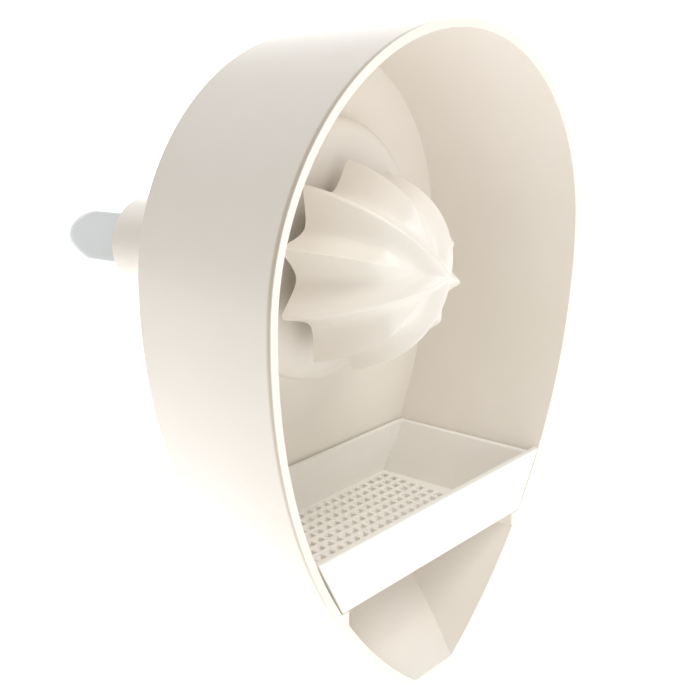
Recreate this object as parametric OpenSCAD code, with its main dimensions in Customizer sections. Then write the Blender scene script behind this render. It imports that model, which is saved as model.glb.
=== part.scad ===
// Citrus juicer attachment for a stand mixer, in millimetres.
// The drive axis lies along Y. The origin is the centre of the neck's shoulder face,
// where the rim of the mixer's hub stops. The open front faces -Y and Z points up.
// The housing and its strainer lean forward about X, so that juice runs to the spout.

/* [Housing] */
// Forward lean of the housing against the drive axis, in degrees
lean = 4.5; // [0:0.5:6]
// Depth of the housing from front rim to back face
depth = 60; // [50:1:70]
// Radius of the round top of the front rim
top_r = 75.5; // [70:0.5:80]
// Height of the round top's centre above the drive axis
top_z = 3.5; // [0:0.5:6]
// Radius of the long curved sides of the front rim
side_r = 170; // [165:1:175]
// Slope of the line where the round top meets the sides, in degrees
blend_angle = 2.5; // [1:0.5:4]
// Height of the blunt tip of the spout
tip_z = -134.5; // [-137:0.5:-130]
// How far the walls draw in from front rim to back face
draft = 6.4; // [4:0.2:8]
// Wall thickness
wall = 2.5; // [2:0.1:3]
// Rounding of the outer back edge
back_round = 4; // [2:0.5:5]
// Height where the sloping chute leaves the back face
chute_z = -100; // [-104:1:-96]

/* [Boss] */
// Radius of the round boss behind the reamer
boss_r = 43.3; // [41:0.1:44]
// Height of the boss above the back wall
boss_h = 9.8; // [8:0.2:10]
// Rounding of the boss's edge
boss_round = 3.5; // [2:0.5:5]
// Height of the boss's centre in the housing's own frame
boss_z = 4.7; // [3.5:0.1:5]

/* [Hub neck] */
// Radius of the collar that enters the mixer's hub
collar_r = 17.5; // [17:0.1:18]
// Length of the collar
collar_len = 38; // [34:1:42]
// Radius of the shoulder
shoulder_r = 22; // [20:0.5:24]
// Distance from the shoulder back to the housing's back face
neck_len = 42; // [38:1:46]
// Radius and thickness of the flange on the housing
flange_r = 32; // [31:0.5:34]
flange_t = 4; // [3:0.5:5]

/* [Drive] */
// Radius of the steel shaft
shaft_r = 5; // [4.5:0.1:5.5]
// Side of the square shank
shank_side = 19; // [17:0.5:19]
// How far the shank stands out of the collar
shank_len = 41; // [36:1:44]
// Turn of the shank about the axis at rest, in degrees
shank_turn = 17; // [0:1:45]
// Across flats of the shaft's square front end
nose_side = 7; // [6:0.5:7]

/* [Reamer] */
// Distance of the reamer's tip from the back face, along the axis
reamer_reach = 60.5; // [58:0.5:62]
// Length of the reamer
reamer_len = 39; // [37:0.5:40]
// Largest radius of the curve that the rib crests follow
crest_r = 35.5; // [34:0.5:37]
// Distance from the tip to that largest radius
crest_len = 51; // [48:1:60]
// Fullness of that curve: 0.5 is an ellipse, and more is more pointed
crest_power = 0.61; // [0.5:0.01:0.7]
// Valley radius as a share of the crest radius
valley_share = 0.78; // [0.75:0.01:0.85]
// Number of ribs, half of them long and half short
ribs = 10; // [8:2:12]

/* [Strainer] */
// Height of the front panel's top edge
panel_top_z = -68.7; // [-70:0.1:-67]
// Height of the floor's underside
floor_z = -89.2; // [-91:0.1:-88]
// Half width of the front panel at its top and bottom edge
panel_top_w = 58; // [56:0.5:58]
panel_low_w = 47.2; // [46:0.1:47.2]
// Half width of the basin at its back, at the top and bottom edge
basin_top_w = 50.9; // [49:0.1:51]
basin_low_w = 40.2; // [39:0.1:41]
// Thickness of the basin's walls
basin_t = 1.8; // [1.5:0.1:2]
// Spacing of the square drain holes
hole_pitch = 4.2; // [4:0.1:4.4]
// Side of a drain hole
hole_side = 2.6; // [2:0.1:3]
// Number of hole columns and rows
hole_cols = 18; // [14:2:18]
hole_rows = 11; // [8:1:11]

/* [Hidden] */
$fn = 96;
e = 0.01;
run_gap = 0.07;
fit_gap = 0.03;
side_x = (side_r - top_r) * cos(blend_angle);
side_z = top_z - (side_r - top_r) * sin(blend_angle);
big = 300;
spigot_r = 12;
bush_r = 9;
bush_front = -neck_len - 15;
bush_len = 22;
journal_r = shank_side / sqrt(2) + 0.1;
rear_bush_r = collar_r - 2;
rear_bush_len = 20;
journal_front = 6;
washer_t = 1.6;
screw_r = 1.75;
screw_ring = 26.5;
shaft_front = -neck_len - 46;
nose_len = 20;
clip_y = bush_front - 3.3;
clip_t = 1;
ring_y = shaft_front + nose_len + 1;
pin_y = 14;
pin_r = 2;
rail_low_z = -95;
rail_w = 3.2;
cream = [0.91, 0.88, 0.82];
white = [0.95, 0.94, 0.91];
steel = [0.72, 0.73, 0.75];
nylon = [0.85, 0.89, 0.9];

// Everything made in the housing's own frame is placed by this: x and z across the
// opening, y from -depth at the rim to 0 at the back face, with the axis through 0.
module housing_frame() {
    translate([0, -neck_len, 0]) rotate([lean, 0, 0]) children();
}

// A cylinder along +Y from y0 to y1
module rod(y0, y1, r, r2 = -1) {
    translate([0, y0, 0]) rotate([-90, 0, 0]) cylinder(h = y1 - y0, r1 = r, r2 = r2 < 0 ? r : r2);
}

// A tube along +Y
module tube(y0, y1, r_out, r_in) {
    difference() {
        rod(y0, y1, r_out);
        rod(y0 - 1, y1 + 1, r_in);
    }
}

// ---- Housing -------------------------------------------------------------

// How far the outer surface has drawn in at a given y
function inset_at(y) = draft * (y + depth) / depth;

// Points of an arc of radius r about (x, y), from angle a to angle b
function arc_points(x, y, r, a, b, steps) =
    [for (i = [0:steps]) let (t = a + (b - a) * i / steps) [x + r * cos(t), y + r * sin(t)]];

// Turned solid about the housing's Y through (x, z): radius r at the rim, drawn in
// towards the back, with its back edge rounded by round_r
module drafted_disc(x, z, r, y0, y1, round_r) {
    slope = atan(draft / depth);
    cy = y1 - round_r;
    cr = r - inset_at(cy) - round_r / cos(slope);
    translate([x, 0, z]) rotate([-90, 0, 0]) rotate_extrude($fn = 180)
        polygon(concat([[0, y0], [r - inset_at(y0), y0]],
            arc_points(cr, cy, round_r, slope, 90, 6), [[0, y1]]));
}

// The region below the lines where the round top meets the sides
module side_region(y0, y1) {
    rise = big * tan(blend_angle);
    translate([0, y1, 0]) rotate([90, 0, 0]) linear_extrude(y1 - y0)
        polygon([[0, top_z], [big, top_z + rise], [big, -big], [-big, -big], [-big, top_z + rise]]);
}

// The teardrop, with its outline set in by t all round
module teardrop(t, y0, y1, round_r) {
    difference() {
        drafted_disc(0, top_z, top_r - t, y0, y1, round_r);
        side_region(y0 - 1, y1 + 1);
    }
    intersection() {
        drafted_disc(-side_x, side_z, side_r - t, y0, y1, round_r);
        drafted_disc(side_x, side_z, side_r - t, y0, y1, round_r);
        side_region(y0 - 1, y1 + 1);
    }
}

// Everything below the chute's plane, moved up by t along its normal
module below_chute(t) {
    slope = atan((chute_z - tip_z) / depth);
    translate([0, -depth, tip_z]) rotate([slope, 0, 0])
        translate([-big / 2, -big / 2, t - big]) cube(big);
}

module rounded_boss() {
    face = -wall - boss_h;
    translate([0, 0, boss_z]) rotate([-90, 0, 0]) rotate_extrude()
        polygon(concat([[0, face]],
            arc_points(boss_r - boss_round, face + boss_round, boss_round, -90, 0, 6),
            [[boss_r, -wall + e], [0, -wall + e]]));
}

// A ledge along each side wall, drawn in with it, that the strainer rests on
module rail(side) {
    x_in = panel_low_w - rail_w;
    intersection() {
        teardrop(e, -depth, -wall, 1);
        translate([0, 0, rail_low_z]) linear_extrude(floor_z - 0.3 - rail_low_z)
            polygon([[side * x_in, -depth], [side * 60, -depth], [side * 60, -wall],
                [side * (x_in - draft * 1.15), -wall]]);
    }
}

module housing() {
    color(cream) difference() {
        housing_frame() {
            difference() {
                teardrop(0, -depth, 0, back_round);
                difference() {
                    teardrop(wall, -depth - 1, -wall, 1.5);
                    below_chute(wall);
                    translate([-big / 2, -big / 2, tip_z + wall - big]) cube(big);
                }
                below_chute(0);
            }
            rounded_boss();
            rail(1);
            rail(-1);
        }
        rod(-neck_len - 25, 0, spigot_r);
        housing_frame() screw_places() rod(-7.5, 1, screw_r - 0.2);
    }
}

// ---- Hub neck --------------------------------------------------------------

module screw_places() {
    for (a = [45:90:315]) rotate([0, a, 0]) translate([screw_ring, 0, 0]) children();
}

module hub_neck() {
    color(white) difference() {
        union() {
            difference() {
                union() {
                    rod(-neck_len - 6, 0, 21, shoulder_r - 1);
                    rod(-6, 0, shoulder_r);
                }
                housing_frame() translate([-50, -100, -50]) cube([100, 100 + e, 100]);
            }
            housing_frame() rod(0, flange_t, flange_r);
            rod(bush_front - 2, -neck_len + 8, spigot_r - fit_gap);
            rod(-e, collar_len - 1, collar_r);
            rod(collar_len - 1 - e, collar_len, collar_r, collar_r - 1);
        }
        rod(bush_front - 3, bush_front + bush_len, bush_r);
        rod(bush_front, 10, shaft_r + 1.5);
        rod(journal_front - washer_t - 0.2, collar_len + 1, journal_r + 0.5);
        rod(collar_len - rear_bush_len, collar_len + 1, rear_bush_r);
        housing_frame() screw_places() rod(-1, flange_t + 1, screw_r + 0.2);
    }
}

// Pan-head screws that hold the flange to the boss
module neck_screws() {
    color(steel) housing_frame() screw_places() difference() {
        union() {
            rod(-6.5, flange_t, screw_r - 0.22);
            rod(flange_t, flange_t + 1.2, 3.2);
            rod(flange_t + 1.2 - e, flange_t + 2.2, 3.2, 2.2);
        }
        translate([-1.8, flange_t + 1, -0.4]) cube([3.6, 2, 0.8]);
        translate([-0.4, flange_t + 1, -1.8]) cube([0.8, 2, 3.6]);
    }
}

module front_bush() {
    color("tan") tube(bush_front, bush_front + bush_len, bush_r - fit_gap, shaft_r + run_gap);
}

module rear_bush() {
    color("tan")
        tube(collar_len - rear_bush_len + e, collar_len - 0.5, rear_bush_r - fit_gap, journal_r + run_gap);
}

// Rubber ring that keeps juice out of the bush
module shaft_seal() {
    color("dimgray") tube(bush_front - 1.5, bush_front - e, bush_r - fit_gap, shaft_r + run_gap);
}

module thrust_washer() {
    y0 = journal_front - washer_t;
    color("silver") tube(y0 - 0.15, journal_front - 0.15, journal_r - 1, shaft_r + run_gap);
}

// ---- Drive -----------------------------------------------------------------

module drive_shaft() {
    color(steel) difference() {
        union() {
            rod(shaft_front + nose_len, journal_front + 26, shaft_r);
            translate([-nose_side / 2, shaft_front, -nose_side / 2])
                cube([nose_side, nose_len + e, nose_side]);
        }
        translate([0, clip_y, 0]) rotate([-90, 0, 0]) difference() {
            cylinder(h = clip_t, r = shaft_r + 1);
            translate([0, 0, -1]) cylinder(h = clip_t + 2, r = shaft_r - 1);
        }
        translate([-shaft_r - 1, pin_y, 0]) rotate([0, 90, 0]) cylinder(h = 2 * shaft_r + 2, r = pin_r);
    }
}

// The round journal that turns in the collar and the square shank that the mixer drives
module shank() {
    end_y = collar_len + shank_len;
    color(nylon) difference() {
        union() {
            rod(journal_front, collar_len, journal_r);
            intersection() {
                rotate([0, shank_turn, 0]) translate([-shank_side / 2, collar_len - e, -shank_side / 2])
                    cube([shank_side, shank_len + e, shank_side]);
                rotate([-90, 0, 0]) rotate_extrude()
                    polygon([[0, collar_len - 1], [journal_r, collar_len - 1], [journal_r, end_y - 19],
                        [shank_side * 0.62, end_y - 12], [shank_side * 0.5, end_y - 5],
                        [shank_side * 0.36, end_y], [0, end_y]]);
            }
        }
        rod(journal_front - 1, journal_front + 26.5, shaft_r + fit_gap);
        translate([-big / 2, pin_y, 0]) rotate([0, 90, 0]) cylinder(h = big, r = pin_r);
    }
}

module shank_pin() {
    color(steel) translate([-journal_r + 0.6, pin_y, 0]) rotate([0, 90, 0])
        cylinder(h = 2 * journal_r - 1.2, r = pin_r - fit_gap);
}

// Spring clip in the shaft's groove, open on one side
module shaft_clip() {
    color(steel) translate([0, clip_y + fit_gap, 0]) difference() {
        rod(0, clip_t - 2 * fit_gap, shaft_r + 2.5);
        rod(-1, clip_t + 1, shaft_r - 1 + fit_gap);
        translate([-2.5, -1, 0]) cube([5, clip_t + 2, shaft_r + 3]);
    }
}

// Rubber ring on the shaft's front end that grips the reamer's socket
module grip_ring() {
    color("dimgray") difference() {
        rod(ring_y, ring_y + 1.5, shaft_r + 0.8);
        rod(ring_y - 1, ring_y + 3, shaft_r + 0.02);
    }
}

// ---- Reamer ----------------------------------------------------------------

// Crest radius at a distance s back from the tip
function crest(s) = crest_r * pow(1 - pow(1 - s / crest_len, 2), crest_power);

// Half profile of a turned solid whose radius is a share of the crest radius
module crest_profile(share, s0, s1, less) {
    steps = 16;
    polygon(concat([[0, s0]],
        [for (i = [0:steps]) let (s = s0 + (s1 - s0) * pow(i / steps, 1.7)) [max(share * crest(s) - less, 0.01), s]],
        [[0, s1]]));
}

module turned_crest(share, s0, s1, less) {
    translate([0, -neck_len - reamer_reach, 0]) rotate([-90, 0, 0]) rotate_extrude()
        crest_profile(share, s0, s1, less);
}

// One rib: a plate with sloping flanks, cut to the crest's profile
module rib(angle, short) {
    tip_y = -neck_len - reamer_reach;
    start = short ? 5 : 0.4;
    rotate([0, angle, 0]) translate([0, tip_y + reamer_len, 0]) rotate([90, 0, 0])
        linear_extrude(reamer_len - start)
        polygon([[0, -5.5], [crest_r + 1, -0.9], [crest_r + 1, 0.9], [0, 5.5]]);
}

module reamer() {
    tip_y = -neck_len - reamer_reach;
    base_y = tip_y + reamer_len;
    color(white) difference() {
        union() {
            turned_crest(valley_share, 0, reamer_len, 0);
            intersection() {
                turned_crest(1, 0, reamer_len, 0);
                for (i = [0:ribs - 1]) rib(i * 360 / ribs + 19, i % 2 == 1);
            }
        }
        difference() {
            turned_crest(valley_share, 12, reamer_len + 1, 3);
            rod(tip_y, base_y - 1, shaft_r + 4);
        }
        translate([-nose_side / 2 - 0.15, shaft_front - 0.6, -nose_side / 2 - 0.15])
            cube([nose_side + 0.3, nose_len + 2, nose_side + 0.3]);
        rod(shaft_front + nose_len - 0.5, base_y + 1, shaft_r + 0.9);
    }
}

// ---- Strainer --------------------------------------------------------------

// A trapezium in X and Z, extruded by t from y
module trapezium(y, t, w_top, w_low, z_top, z_low) {
    translate([0, y + t, 0]) rotate([90, 0, 0]) linear_extrude(t)
        polygon([[-w_top, z_top], [w_top, z_top], [w_low, z_low], [-w_low, z_low]]);
}

// Basin solid: the same trapezium at the front and, drawn in, at the back
module basin_solid(less, y0, y1, z_top, z_low) {
    run = depth - 5;
    function top_w(y) = panel_top_w - 1.2 + (basin_top_w - panel_top_w + 1.2) * (y + depth) / run - less;
    function low_w(y) = panel_low_w - 1.2 + (basin_low_w - panel_low_w + 1.2) * (y + depth) / run - less;
    hull() {
        trapezium(y0, e, top_w(y0), low_w(y0), z_top, z_low);
        trapezium(y1 - e, e, top_w(y1), low_w(y1), z_top, z_low);
    }
}

module strainer() {
    back_y = -wall - 0.6;
    floor_t = 1.5;
    color(white) housing_frame() difference() {
        union() {
            trapezium(-depth - 0.3, 2.2, panel_top_w, panel_low_w, panel_top_z, floor_z);
            basin_solid(0, -depth + 1, back_y, panel_top_z - 1.2, floor_z);
        }
        basin_solid(basin_t, -depth + 1.9, back_y - basin_t, 0, floor_z + floor_t);
        for (c = [0:hole_cols - 1], r = [0:hole_rows - 1])
            translate([(c - (hole_cols - 1) / 2) * hole_pitch - hole_side / 2,
                -8 - r * hole_pitch - hole_side / 2, floor_z - 1])
                cube([hole_side, hole_side, floor_t + 2]);
    }
}

housing();
hub_neck();
neck_screws();
front_bush();
rear_bush();
shaft_seal();
thrust_washer();
drive_shaft();
shank();
shank_pin();
shaft_clip();
grip_ring();
reamer();
strainer();
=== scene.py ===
import bpy, bmesh
from math import radians, sin, cos, asin, atan, exp, pi, sqrt
from mathutils import Vector, Matrix


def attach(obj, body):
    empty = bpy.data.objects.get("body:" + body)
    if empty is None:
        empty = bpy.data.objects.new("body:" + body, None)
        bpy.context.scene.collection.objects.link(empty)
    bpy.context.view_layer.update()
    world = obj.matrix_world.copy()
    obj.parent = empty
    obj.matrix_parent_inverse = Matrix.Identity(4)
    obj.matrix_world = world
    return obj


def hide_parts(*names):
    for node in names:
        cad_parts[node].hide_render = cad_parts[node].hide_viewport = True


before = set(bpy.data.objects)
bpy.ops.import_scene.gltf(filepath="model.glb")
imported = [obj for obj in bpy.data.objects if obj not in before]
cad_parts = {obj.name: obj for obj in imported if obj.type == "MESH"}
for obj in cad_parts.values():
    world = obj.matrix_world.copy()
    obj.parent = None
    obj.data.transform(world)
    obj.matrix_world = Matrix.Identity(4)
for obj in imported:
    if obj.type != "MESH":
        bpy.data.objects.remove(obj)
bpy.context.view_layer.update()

# Sizes of the part, in millimetres, as in its CAD source
LEAN, DEPTH = radians(4.5), 60.0
TOP_R, TOP_Z, SIDE_R, BLEND = 75.5, 3.5, 170.0, radians(2.5)
TIP_Z, DRAFT, WALL, CHUTE_Z = -134.5, 6.4, 2.5, -100.0
NECK = 42.0
SIDE_X = (SIDE_R - TOP_R) * cos(BLEND)
SIDE_Z = TOP_Z - (SIDE_R - TOP_R) * sin(BLEND)
MM = 0.001
PLACE = Matrix.Translation((0, -NECK * MM, 0)) @ Matrix.Rotation(LEAN, 4, 'X')


# ---------------------------------------------------------------- mesh helpers
def make(name, verts, faces, body, hides, local, smooth, mats):
    """Mesh object from millimetres that rides on a body. local places it in the housing's leaning frame,
    hides names the CAD nodes it replaces, and edges sharper than smooth stay sharp."""
    me = bpy.data.meshes.new(name)
    me.from_pydata([Vector(v) * MM for v in verts], [], faces)
    me.validate()
    if local:
        me.transform(PLACE)
    ob = bpy.data.objects.new(name, me)
    bpy.context.collection.objects.link(ob)
    bm = bmesh.new()
    bm.from_mesh(me)
    bmesh.ops.remove_doubles(bm, verts=bm.verts, dist=1e-6)
    bmesh.ops.recalc_face_normals(bm, faces=bm.faces)
    for f in bm.faces:
        f.smooth = True
    for e in bm.edges:
        if len(e.link_faces) == 2 and e.calc_face_angle(0) > smooth:
            e.smooth = False
    bm.to_mesh(me)
    bm.free()
    for m in mats:
        me.materials.append(m)
    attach(ob, body)
    if hides:
        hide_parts(*hides)
    return ob


def weld_bevel(ob, width, segments=3, angle=30):
    m = ob.modifiers.new("edge rounding", 'BEVEL')
    m.width = width * MM
    m.segments = segments
    m.limit_method = 'ANGLE'
    m.angle_limit = radians(angle)
    m.harden_normals = False
    m.use_clamp_overlap = True


def lathe(profile, n):
    """Turned solid about Y. profile is a closed list of (radius, y)."""
    verts, faces = [], []
    for r, y in profile:
        for i in range(n):
            a = 2 * pi * i / n
            verts.append((r * cos(a), y, r * sin(a)))
    k = len(profile)
    for j in range(k):
        j2 = (j + 1) % k
        for i in range(n):
            i2 = (i + 1) % n
            faces.append((j * n + i, j * n + i2, j2 * n + i2, j2 * n + i))
    return verts, faces


def rounded(points, radii, steps):
    """Rounds each corner of a closed (r, y) outline by its own radius."""
    out, k = [], len(points)
    for i, p in enumerate(points):
        rad = radii[i]
        a, b, c = Vector(points[i - 1]), Vector(p), Vector(points[(i + 1) % k])
        if rad <= 0:
            out.append(tuple(b))
            continue
        u, w = (a - b), (c - b)
        d = min(rad, u.length * 0.45, w.length * 0.45)
        u.normalize()
        w.normalize()
        p0, p1 = b + u * d, b + w * d
        for s in range(steps + 1):
            t = s / steps
            out.append(tuple(p0 * (1 - t) ** 2 + b * 2 * t * (1 - t) + p1 * t * t))
    return out


# ---------------------------------------------------------------- materials
def plastic(name, color, rough, spec, coat, wear=0.04, grain=2600.0):
    m = bpy.data.materials.new(name)
    m.use_nodes = True
    nt = m.node_tree
    nt.nodes.clear()
    out = nt.nodes.new('ShaderNodeOutputMaterial')
    sh = nt.nodes.new('ShaderNodeBsdfPrincipled')
    nt.links.new(sh.outputs[0], out.inputs[0])
    tc = nt.nodes.new('ShaderNodeTexCoord')
    big = nt.nodes.new('ShaderNodeTexNoise')
    big.inputs['Scale'].default_value = 14.0
    big.inputs['Detail'].default_value = 3.0
    fine = nt.nodes.new('ShaderNodeTexNoise')
    fine.inputs['Scale'].default_value = grain
    fine.inputs['Detail'].default_value = 4.0
    for t in (big, fine):
        nt.links.new(tc.outputs['Object'], t.inputs['Vector'])
    ramp = nt.nodes.new('ShaderNodeValToRGB')
    dark = [c * (1.0 - wear) for c in color]
    dark[2] *= 1.0 - wear
    ramp.color_ramp.elements[0].position = 0.3
    ramp.color_ramp.elements[1].position = 0.65
    ramp.color_ramp.elements[0].color = (*dark, 1)
    ramp.color_ramp.elements[1].color = (*color, 1)
    nt.links.new(big.outputs['Fac'], ramp.inputs['Fac'])
    nt.links.new(ramp.outputs['Color'], sh.inputs['Base Color'])
    rr = nt.nodes.new('ShaderNodeMapRange')
    rr.inputs['To Min'].default_value = rough * 0.85
    rr.inputs['To Max'].default_value = rough * 1.2
    nt.links.new(fine.outputs['Fac'], rr.inputs['Value'])
    nt.links.new(rr.outputs['Result'], sh.inputs['Roughness'])
    bump = nt.nodes.new('ShaderNodeBump')
    bump.inputs['Strength'].default_value = 0.06
    bump.inputs['Distance'].default_value = 0.00004
    nt.links.new(fine.outputs['Fac'], bump.inputs['Height'])
    nt.links.new(bump.outputs['Normal'], sh.inputs['Normal'])
    sh.inputs['Specular IOR Level'].default_value = spec
    sh.inputs['Coat Weight'].default_value = coat
    sh.inputs['Coat Roughness'].default_value = 0.18
    return m


def steel(name):
    m = plastic(name, [0.55, 0.55, 0.56], 0.28, 0.5, 0.0, 0.12, 900.0)
    sh = [n for n in m.node_tree.nodes if n.type == 'BSDF_PRINCIPLED'][0]
    sh.inputs['Metallic'].default_value = 1.0
    return m


def paint_rim_shade(m):
    """Painted shade: darkens the outside of the wall in a narrow band just behind the front rim, standing
    in for the shade on the rounded rim edge.
    """
    nt = m.node_tree
    sh = [n for n in nt.nodes if n.type == 'BSDF_PRINCIPLED'][0]
    src = sh.inputs['Base Color'].links[0].from_socket
    tc = [n for n in nt.nodes if n.type == 'TEX_COORD'][0]
    dot = nt.nodes.new('ShaderNodeVectorMath')
    dot.operation = 'DOT_PRODUCT'
    dot.inputs[1].default_value = (0, cos(LEAN), sin(LEAN))
    nt.links.new(tc.outputs['Object'], dot.inputs[0])
    ramp = nt.nodes.new('ShaderNodeMapRange')
    front = -NECK * MM * cos(LEAN) - DEPTH * MM
    ramp.inputs['From Min'].default_value = front + 0.0022
    ramp.inputs['From Max'].default_value = front + 0.0012
    ramp.inputs['To Min'].default_value = 0.0
    ramp.inputs['To Max'].default_value = 0.75
    nt.links.new(dot.outputs['Value'], ramp.inputs['Value'])
    keep = nt.nodes.new('ShaderNodeMapRange')
    keep.inputs['From Min'].default_value = front + 0.0002
    keep.inputs['From Max'].default_value = front + 0.0005
    nt.links.new(dot.outputs['Value'], keep.inputs['Value'])
    rim_shade_mask = nt.nodes.new('ShaderNodeMath')
    rim_shade_mask.operation = 'MULTIPLY'
    nt.links.new(ramp.outputs['Result'], rim_shade_mask.inputs[0])
    nt.links.new(keep.outputs['Result'], rim_shade_mask.inputs[1])
    mix = nt.nodes.new('ShaderNodeMix')
    mix.data_type = 'RGBA'
    cols = [i for i in mix.inputs if i.type == 'RGBA']
    # painted shade colour of the narrow band behind the rim
    cols[1].default_value = (0.52, 0.42, 0.30, 1)
    nt.links.new(src, cols[0])
    nt.links.new(rim_shade_mask.outputs[0], mix.inputs[0])
    nt.links.new([o for o in mix.outputs if o.type == 'RGBA'][0], sh.inputs['Base Color'])


CREAM = plastic("cream plastic", [0.895, 0.84, 0.775], 0.30, 0.5, 0.12)
# the outside copy of the cream plastic, which carries a painted shade band just behind the front rim
CREAM_OUT_RIM_SHADE = plastic("cream plastic outside with painted rim shade", [0.895, 0.835, 0.765], 0.30, 0.5, 0.12)
paint_rim_shade(CREAM_OUT_RIM_SHADE)
REAMER = plastic("reamer plastic", [0.90, 0.855, 0.81], 0.34, 0.45, 0.06)
TRAY = plastic("strainer plastic", [0.92, 0.885, 0.845], 0.28, 0.5, 0.12)
SHANK = plastic("shank nylon", [0.84, 0.865, 0.88], 0.36, 0.5, 0.05)
BUSH = plastic("bush acetal", [0.62, 0.52, 0.36], 0.45, 0.4, 0.0, 0.12)
RUBBER = plastic("seal rubber", [0.02, 0.02, 0.02], 0.7, 0.3, 0.0, 0.3)
STEEL = steel("turned steel")


# ---------------------------------------------------------------- housing shell
def outline(phi, t):
    """Point of the right half outline inset by t, at angle phi."""
    if phi >= BLEND:
        return (TOP_R - t) * cos(phi), TOP_Z + (TOP_R - t) * sin(phi)
    return (SIDE_R - t) * cos(phi) - SIDE_X, SIDE_Z + (SIDE_R - t) * sin(phi)


def wall_inset(x, z):
    """Distance of a point of the front rim inside the outer outline."""
    if z > TOP_Z:
        return TOP_R - sqrt(x * x + (z - TOP_Z) ** 2)
    return SIDE_R - sqrt((abs(x) + SIDE_X) ** 2 + (z - SIDE_Z) ** 2)


CH = (CHUTE_Z - TIP_Z) / DEPTH


def shell_half(t, y_back, lift, n_top, n_side, rows):
    """Columns of points of one half wall, front to back, each ending at the back plane
    or where it meets the sloping chute, raised by lift."""
    def cut(y):
        return TIP_Z + lift + (y + DEPTH) * CH

    def z_of(phi, y):
        return outline(phi, t + DRAFT * (y + DEPTH) / DEPTH)[1]
    end = asin((cut(-DEPTH) - SIDE_Z) / (SIDE_R - t))
    knee = asin((cut(y_back) - SIDE_Z) / (SIDE_R - t - DRAFT * (y_back + DEPTH) / DEPTH))
    phis = [pi / 2 + (BLEND - pi / 2) * i / n_top for i in range(n_top + 1)]
    n1 = int(n_side * 0.75)
    phis += [BLEND + (knee - BLEND) * i / n1 for i in range(1, n1 + 1)]
    phis += [knee + (end - knee) * i / (n_side - n1) for i in range(1, n_side - n1 + 1)]
    cols = []
    for phi in phis:
        lo, hi = -DEPTH, y_back
        if z_of(phi, y_back) < cut(y_back) - 1e-9:
            for _ in range(60):
                mid = (lo + hi) / 2
                if z_of(phi, mid) > cut(mid):
                    lo = mid
                else:
                    hi = mid
            hi = lo
        col = []
        for j in range(rows + 1):
            y = -DEPTH + (hi + DEPTH) * j / rows
            x, z = outline(phi, t + DRAFT * (y + DEPTH) / DEPTH)
            col.append((x, y, z))
        cols.append(col)
    return cols, n_top + n1


def build_housing():
    n_top, n_side, rows = 40, 64, 14
    verts, faces = [], []

    def add(p):
        verts.append(p)
        return len(verts) - 1
    grids = []
    for t, yb, lift in ((0, 0.0, 0.0), (WALL, -WALL, WALL / cos(atan(CH)))):
        cols, knee = shell_half(t, yb, lift, n_top, n_side, rows)
        right = [[add(p) for p in c] for c in cols]
        left = [[add((-p[0], p[1], p[2])) for p in c] for c in cols]
        grids.append((right, left, knee))
        for half in (right, left):
            for i in range(len(half) - 1):
                for j in range(rows):
                    faces.append((half[i][j], half[i + 1][j], half[i + 1][j + 1], half[i][j + 1]))
        # flat back, drawn as strips across, and the chute's plane below the knee
        across = 24
        strips = []
        for i in range(len(cols)):
            a, b = Vector(cols[i][-1]), Vector((-cols[i][-1][0], cols[i][-1][1], cols[i][-1][2]))
            middle = [add(tuple(a.lerp(b, s / across))) for s in range(1, across)]
            row = [right[i][-1]] + middle + [left[i][-1]]
            strips.append(row)
        for i in range(len(strips) - 1):
            for s in range(across):
                faces.append((strips[i][s], strips[i + 1][s],
                              strips[i + 1][s + 1], strips[i][s + 1]))
    (r0, l0, _), (r1, l1, _) = grids
    for a, b in ((r0, r1), (l0, l1)):
        for i in range(len(a) - 1):
            faces.append((a[i][0], a[i + 1][0], b[i + 1][0], b[i][0]))
    faces.append((r0[-1][0], l0[-1][0], l1[-1][0], r1[-1][0]))
    ob = make("housing_shell", verts, faces, "body", ("housing",), True,
              radians(28), (CREAM, CREAM_OUT_RIM_SHADE))
    flat = PLACE.inverted()
    # outside faces take the cream plastic that carries the painted rim shade
    for p in ob.data.polygons:
        c = flat @ p.center / MM
        n = flat.to_3x3() @ p.normal
        if abs(n.y) < 0.5 and n.x * c.x + n.z * (c.z - TOP_Z * (c.z > 0)) > 0:
            p.material_index = 1
    # rounding, as a share of the bevel: wide on the back edges, medium inside, and on the rim
    # wider outside than inside
    me = ob.data
    bm = bmesh.new()
    bm.from_mesh(me)
    lay = bm.edges.layers.float.get("bevel_weight_edge") or bm.edges.layers.float.new("bevel_weight_edge")
    for e in bm.edges:
        if len(e.link_faces) != 2 or e.calc_face_angle(0) < radians(20):
            continue
        mid = flat @ ((e.verts[0].co + e.verts[1].co) / 2) / MM
        if mid.y < -DEPTH + 0.05:
            e[lay] = 0.32 if wall_inset(mid.x, mid.z) < WALL / 2 else 0.12
        elif mid.y > -WALL / 2:
            e[lay] = 1.0
        elif mid.y > -WALL - 0.05:
            e[lay] = 0.75
        else:
            e[lay] = 0.45
        e.smooth = True
    bm.to_mesh(me)
    bm.free()
    b = ob.modifiers.new("edge rounding", 'BEVEL')
    b.width = 4.0 * MM
    b.segments = 5
    b.limit_method = 'WEIGHT'
    b.use_clamp_overlap = True
    w = ob.modifiers.new("weighted normals", 'WEIGHTED_NORMAL')
    w.keep_sharp = True
    w.weight = 80
    return ob


build_housing()

# Boss behind the reamer: a low stepped dome that flares into the back wall
BOSS_R, BOSS_Z = 43.3, 4.7
face = -WALL - 9.8
boss = rounded([(6.0, face), (BOSS_R, face), (BOSS_R, -WALL - 0.2), (BOSS_R + 2.2, -WALL + 0.2),
                (6.0, -WALL + 0.2)], [0, 4.2, 2.0, 0, 0], 8)
v, f = lathe(boss, 192)
v = [(x, y, z + BOSS_Z) for x, y, z in v]
make("housing_boss", v, f, "body", (), True, radians(40), (CREAM,))

# Ledges under the strainer, one on each side wall
LOW_Z, LEDGE_TOP, IN_X = -95.0, -89.5, 47.2 - 3.2


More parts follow.
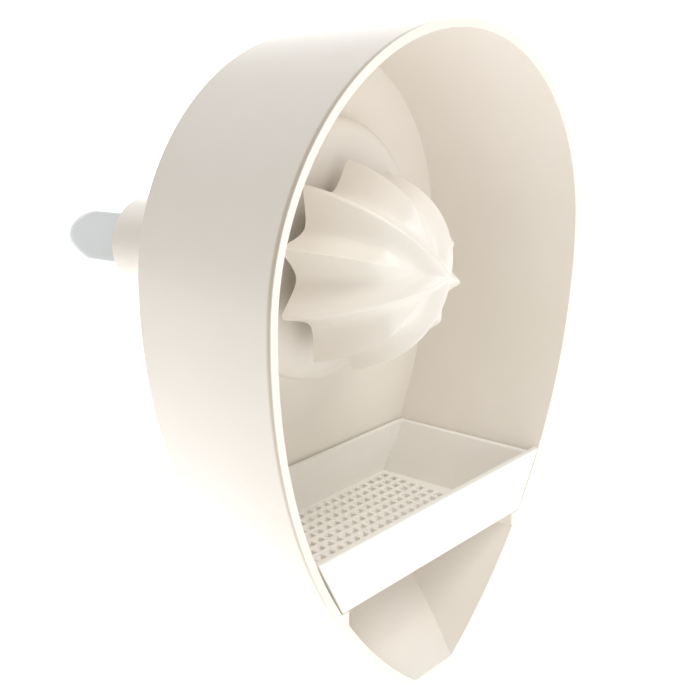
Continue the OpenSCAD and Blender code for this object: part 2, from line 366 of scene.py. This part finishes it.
def ledge(side):
    verts, faces = [], []
    n = 12
    for j in range(n + 1):
        y = -DEPTH + 0.05 + (DEPTH - WALL - 0.1) * j / n
        t = WALL * 0.5 + DRAFT * (y + DEPTH) / DEPTH
        x_in = IN_X - DRAFT * 1.15 * (y + DEPTH) / (DEPTH - WALL)
        row = []
        for z in (LEDGE_TOP, LOW_Z):
            xo = sqrt((SIDE_R - t) ** 2 - (z - SIDE_Z) ** 2) - SIDE_X
            row.append((xo, z))
        a, b = row
        pts = [(x_in, a[1]), (a[0], a[1]), (b[0], b[1]), (min(x_in, b[0] - 0.3), b[1])]
        verts += [(side * p[0], y, p[1]) for p in pts]
    for j in range(n):
        for i in range(4):
            i2 = (i + 1) % 4
            faces.append((j * 4 + i, j * 4 + i2, (j + 1) * 4 + i2, (j + 1) * 4 + i))
    faces += [(0, 1, 2, 3), tuple(n * 4 + i for i in (3, 2, 1, 0))]
    ob = make("ledge_" + ("right" if side > 0 else "left"), verts, faces, "body",
              (), True, radians(30), (CREAM,))
    weld_bevel(ob, 0.5, 2, 40)


ledge(1)
ledge(-1)

# ---------------------------------------------------------------- hub neck
neck = rounded([(12.0, -48.0), (21.0, -41.5), (21.0, -6.0), (22.0, -6.0), (22.0, 0.0), (17.5, 0.0),
                (17.5, 38.0), (15.5, 38.0), (15.5, 18.0), (14.0, 18.0), (14.0, 4.2), (6.5, 4.2),
                (6.5, -35.0), (9.0, -35.0), (9.0, -59.0), (11.97, -59.0)],
               [0, 0, 0.4, 0.6, 0.8, 0.5, 1.2, 0.4, 0, 0, 0, 0.3, 0, 0, 0.3, 0.4], 4)
v, f = lathe(neck, 144)
make("hub_neck_turned", v, f, "body", ("hub_neck",), False, radians(35),
     (CREAM,))
fl = rounded([(15.0, 0.0), (32.0, 0.0), (32.0, 4.0), (24.5, 4.0), (21.0, 8.0), (15.0, 8.0)],
             [0, 0.3, 1.2, 1.8, 0, 0], 6)
v, f = lathe(fl, 144)
make("hub_flange", v, f, "body", (), True, radians(35), (CREAM,))


# ---------------------------------------------------------------- reamer
CREST_R, CREST_LEN, CREST_POWER = 35.5, 51.0, 0.61
REACH, REAMER_LEN, VALLEY = 60.5, 39.0, 0.78
RIB_TURN, LONG_PITCH = radians(53), radians(72)
SOCKET_HALF = 3.65


def crest(s):
    """Radius of the ribs' crests at a distance s back from the tip."""
    return CREST_R * max(0.0, 1 - (1 - s / CREST_LEN) ** 2) ** CREST_POWER


def smooth01(t):
    t = max(0.0, min(1.0, t))
    return t * t * (3 - 2 * t)


def build_reamer():
    n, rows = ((720, 110))
    length = REAMER_LEN
    tip = -NECK - REACH
    verts, faces = [], []
    prof = [length * (j / rows) ** 1.7 for j in range(rows + 1)]
    for s in prof:
        c = crest(s)
        w = smooth01((s - 4.5) / 9.5)
        deep = 0.46 + 0.12 * exp(-s / 9.0)
        for i in range(n):
            a = 2 * pi * i / n
            # d runs from 0 on a long crest to 1 on the short crest beside it
            k = (a - RIB_TURN) / LONG_PITCH
            d = abs(k - round(k)) * 2
            d = sqrt(d * d + 0.0006) - 0.0245
            e = min(d, 1 - d)
            e = sqrt(e * e + 0.0005) - 0.0224
            wide = deep * (1 - (1 - d) ** 2)
            narrow = 0.25 * (1 - (1 - 2 * e) ** 2)
            r = max(c * (1 - (1 - w) * wide - w * narrow), 0.02)
            verts.append((r * cos(a), tip + s, r * sin(a)))
    for j in range(rows):
        for i in range(n):
            i2 = (i + 1) % n
            faces.append((j * n + i, (j + 1) * n + i, (j + 1) * n + i2, j * n + i2))
    faces.append(tuple(range(n)))
    # inside: a rounded lip, a turned hollow and the socket tube
    inner = [(VALLEY * crest(length) - 2.4, length)]
    inner += [(VALLEY * crest(s) - 2.8, s) for s in (38, 36, 32, 28, 24, 20, 16, 13)]
    inner += [(9.0, 12.4), (9.0, length - 1), (5.9, length - 1), (5.9, 34.0)]
    prev = rows * n
    rings = []
    for r, s in inner:
        rings.append(len(verts))
        for i in range(n):
            a = 2 * pi * i / n
            verts.append((r * cos(a), tip + s, r * sin(a)))
    # square socket
    for s in (34.0, 13.9):
        rings.append(len(verts))
        for i in range(n):
            a = 2 * pi * i / n
            r = SOCKET_HALF / max(abs(cos(a)), abs(sin(a)))
            verts.append((r * cos(a), tip + s, r * sin(a)))
    for st in rings:
        for i in range(n):
            i2 = (i + 1) % n
            faces.append((prev + i, st + i, st + i2, prev + i2))
        prev = st
    faces.append(tuple(prev + i for i in range(n)))
    make("reamer_cone", verts, faces, "reamer_body", ("reamer",), False,
         radians(50), (REAMER,))


build_reamer()


# ---------------------------------------------------------------- strainer
def plate_with_holes(xs, ys, holes, z0, z1, outline_x):
    """Flat plate on a grid with square holes. xs, ys are grid lines; holes a set of cells;
    outline_x maps a y to the half width, and the outer grid lines follow it."""
    verts, faces, ids = [], [], {}

    def vid(i, j, k):
        if (i, j, k) not in ids:
            x, y, z = xs[i], ys[j], (z0, z1)[k]
            if i == 0 or i == len(xs) - 1:
                x = (1 if x > 0 else -1) * outline_x(y)
            ids[(i, j, k)] = len(verts)
            verts.append((x, y, z))
        return ids[(i, j, k)]
    nx, ny = len(xs) - 1, len(ys) - 1

    def solid(i, j):
        return 0 <= i < nx and 0 <= j < ny and (i, j) not in holes
    for i in range(nx):
        for j in range(ny):
            if not solid(i, j):
                continue
            q = [(i, j), (i + 1, j), (i + 1, j + 1), (i, j + 1)]
            faces.append(tuple(vid(a, b, 1) for a, b in q))
            faces.append(tuple(vid(a, b, 0) for a, b in reversed(q)))
            sides = ((q[0], q[1], (i, j - 1)), (q[1], q[2], (i + 1, j)),
                     (q[2], q[3], (i, j + 1)), (q[3], q[0], (i - 1, j)))
            for (a, b), (c, d), (ni, nj) in sides:
                if not solid(ni, nj):
                    faces.append((vid(a, b, 0), vid(c, d, 0), vid(c, d, 1), vid(a, b, 1)))
    return verts, faces


def build_strainer():
    top_z, low_z, t, ft = -69.9, -89.2, 1.8, 1.5
    run = DEPTH - 5.0
    back = -WALL - 0.6

    def tw(y, z):
        """Half width of the basin's outside at depth y and height z."""
        a = 56.8 + (50.9 - 56.8) * (y + DEPTH) / run
        b = 46.0 + (40.2 - 46.0) * (y + DEPTH) / run
        return b + (a - b) * (z - low_z) / (top_z - low_z)
    # floor with its drain holes
    pitch, side, cols, rows = 4.2, 2.6, 18, 11
    y0, y1 = -58.6, back - 0.3
    xs = sorted((c - (cols - 1) / 2) * pitch + s * side / 2 for c in range(cols) for s in (-1, 1))
    xs = [-50.0] + xs + [50.0]
    ys = [y0] + sorted([-8 - r * pitch + s * side / 2 for r in range(rows) for s in (-1, 1)]) + [y1]
    holes = {(1 + 2 * c, 1 + 2 * r) for c in range(cols) for r in range(rows)}
    v, f = plate_with_holes(xs, ys, holes, low_z, low_z + ft, lambda y: tw(y, low_z) - 0.4)
    fl = make("strainer_floor", v, f, "strainer_body", ("strainer",), True,
              radians(30), (TRAY,))
    weld_bevel(fl, 0.25, 2, 60)
    # basin wall: outer and inner skins joined by a rounded top edge
    def ring(inset, z):
        y_b = back - inset
        front, rear = tw(y0, z) - inset, tw(y_b, z) - inset
        return [(-front, y0), (-rear, y_b), (rear, y_b), (front, y0)]
    verts, faces = [], []
    levels = [(0, low_z), (0, top_z), (t, top_z), (t, low_z + ft * 0.5)]
    for inset, z in levels:
        verts += [(x, y, z) for x, y in ring(inset, z)]
    k = 4
    for a in range(4):
        b = (a + 1) % 4
        for i in range(3):
            faces.append((a * k + i, a * k + i + 1, b * k + i + 1, b * k + i))
    faces += [(0, 4, 8, 12), (3, 15, 11, 7)]
    w = make("strainer_wall", verts, faces, "strainer_body", (), True,
             radians(30), (TRAY,))
    weld_bevel(w, 0.6, 3, 35)
    # front panel
    p0, p1 = -DEPTH - 0.3, -DEPTH + 1.9
    o = [(-58.0, -68.7), (58.0, -68.7), (47.2, -89.2), (-47.2, -89.2)]
    verts = [(x, p0, z) for x, z in o] + [(x, p1, z) for x, z in o]
    faces = [(0, 1, 2, 3), (7, 6, 5, 4)]
    faces += [(i, (i + 1) % 4, (i + 1) % 4 + 4, i + 4) for i in range(4)]
    p = make("strainer_panel", verts, faces, "strainer_body", (), True,
             radians(30), (TRAY,))
    weld_bevel(p, 0.45, 3, 35)


build_strainer()


# ---------------------------------------------------------------- shank
def build_shank():
    n, side, front, end, bore, turn = 256, 19.0, 6.0, 79.0, 5.03, radians(17)
    turned = [(front, 13.54), (37.9, 13.54), (38.0, 13.5), (60.0, 13.5), (62.0, 13.1), (67.0, 11.78),
              (71.0, 10.5), (74.0, 9.5), (76.5, 8.3), (78.2, 7.3), (end, 6.4)]
    ys = [front, 20.0, 37.9] + [38.0 + (end - 38.0) * i / 60 for i in range(61)]
    verts, faces = [], []
    for y in ys:
        for (ya, ra), (yb, rb) in zip(turned, turned[1:]):
            if ya <= y <= yb:
                rt = ra + (rb - ra) * (y - ya) / (yb - ya)
        for i in range(n):
            a = 2 * pi * i / n
            if y < 38.0:
                r = rt
            else:
                b = a + turn
                sq = side / 2 / max(abs(cos(b)), abs(sin(b)))
                p = 26.0
                r = (sq ** -p + (rt * 0.99) ** -p) ** (-1 / p)
            verts.append((r * cos(a), y, r * sin(a)))
    for j in range(len(ys) - 1):
        for i in range(n):
            i2 = (i + 1) % n
            faces.append((j * n + i, j * n + i2, (j + 1) * n + i2, (j + 1) * n + i))
    st = len(verts)
    for i in range(n):
        a = 2 * pi * i / n
        verts.append((bore * cos(a), front, bore * sin(a)))
    faces += [(i, st + i, st + (i + 1) % n, (i + 1) % n) for i in range(n)]
    faces.append(tuple((len(ys) - 1) * n + i for i in range(n)))
    ob = make("shank_square", verts, faces, "drive", ("shank",), False,
              radians(30), (SHANK,))
    weld_bevel(ob, 0.35, 3, 45)


build_shank()

# ---------------------------------------------------------------- small inner parts
# They keep their exact solids, with a material and an edge rounding in millimetres
SMALL = (("neck_screws", STEEL, 0.15), ("front_bush", BUSH, 0.2), ("rear_bush", BUSH, 0.2),
         ("shaft_seal", RUBBER, 0.15), ("thrust_washer", STEEL, 0.1), ("drive_shaft", STEEL, 0.25),
         ("shank_pin", STEEL, 0.2), ("shaft_clip", STEEL, 0.1), ("grip_ring", RUBBER, 0.2))
for node, mat, width in SMALL:
    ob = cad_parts[node]
    for s in ob.material_slots:
        s.material = mat
    if not ob.material_slots:
        ob.data.materials.append(mat)
    weld_bevel(ob, width, 2, 35)

# ---------------------------------------------------------------- stage, light, camera
sc = bpy.context.scene
sc.view_settings.view_transform = 'Standard'
w = bpy.data.worlds.new("studio")
sc.world = w
w.use_nodes = True
bg = w.node_tree.nodes["Background"]
bg.inputs[0].default_value = (1.0, 0.995, 0.985, 1)
bg.inputs[1].default_value = 0.42

fm = bpy.data.materials.new("floor")
fm.use_nodes = True
fb = fm.node_tree.nodes["Principled BSDF"]
fb.inputs["Roughness"].default_value = 0.9
fb.inputs["Emission Color"].default_value = (1, 1, 1, 1)
fb.inputs["Emission Strength"].default_value = 0.42
fn = fm.node_tree.nodes.new('ShaderNodeTexNoise')
fn.inputs['Scale'].default_value = 3.0
fr = fm.node_tree.nodes.new('ShaderNodeValToRGB')
fr.color_ramp.elements[0].color = (0.90, 0.90, 0.90, 1)
fr.color_ramp.elements[1].color = (0.94, 0.94, 0.94, 1)
fm.node_tree.links.new(fn.outputs['Fac'], fr.inputs['Fac'])
fm.node_tree.links.new(fr.outputs['Color'], fb.inputs['Base Color'])
me = bpy.data.meshes.new("floor")
# a studio sweep: level floor that curves up into a back wall, facing the camera
Z, AWAY, BEND, WIDE = -0.42, 2.2, 0.9, 6.0
sweep = [(-4.0, Z), (-1.0, Z), (AWAY, Z)]
sweep += [(AWAY + BEND * sin(radians(a)), Z + BEND * (1 - cos(radians(a)))) for a in range(10, 91, 10)]
sweep += [(AWAY + BEND, 6.0)]
fx, fy = 0.75, 0.66
vs = [(fx * d - fy * side, fy * d + fx * side, z) for d, z in sweep for side in (-WIDE, WIDE)]
me.from_pydata(vs, [], [(2 * i, 2 * i + 1, 2 * i + 3, 2 * i + 2) for i in range(len(sweep) - 1)])
floor = bpy.data.objects.new("floor", me)
bpy.context.collection.objects.link(floor)
me.materials.append(fm)


def area(name, loc, target, size, power):
    l = bpy.data.lights.new(name, 'AREA')
    l.energy = power
    l.size = size
    o = bpy.data.objects.new(name, l)
    o.location = loc
    o.rotation_euler = (Vector(target) - Vector(loc)).to_track_quat('-Z', 'Y').to_euler()
    bpy.context.collection.objects.link(o)


area("key", (-0.55, -1.35, -0.15), (0, -0.07, -0.02), 0.8, 3.8)
area("left fill", (-1.8, -0.1, -0.20), (0, -0.05, -0.05), 1.4, 3.6)
area("top", (0.15, -0.85, 0.95), (0, -0.07, -0.05), 0.6, 6.8)
area("low front", (-0.05, -0.90, -0.85), (0, -0.03, 0.06), 0.5, 12.0)
area("backdrop light", (0.6, 0.5, 0.9), (1.2, 1.1, 0.1), 1.5, 45)

cam_d = bpy.data.cameras.new("camera")
cam_d.lens = 58.55
cam_d.sensor_width = 36.0
cam_d.shift_x = -0.0122
cam_d.shift_y = 0.0491
cam_d.clip_start = 0.01
cam = bpy.data.objects.new("camera", cam_d)
cam.location = (-0.2697, -0.3027, 0.0700)
cam.rotation_euler = (radians(73.06), radians(2.78), radians(-49.32))
bpy.context.collection.objects.link(cam)
sc.camera = cam

bpy.context.view_layer.update()
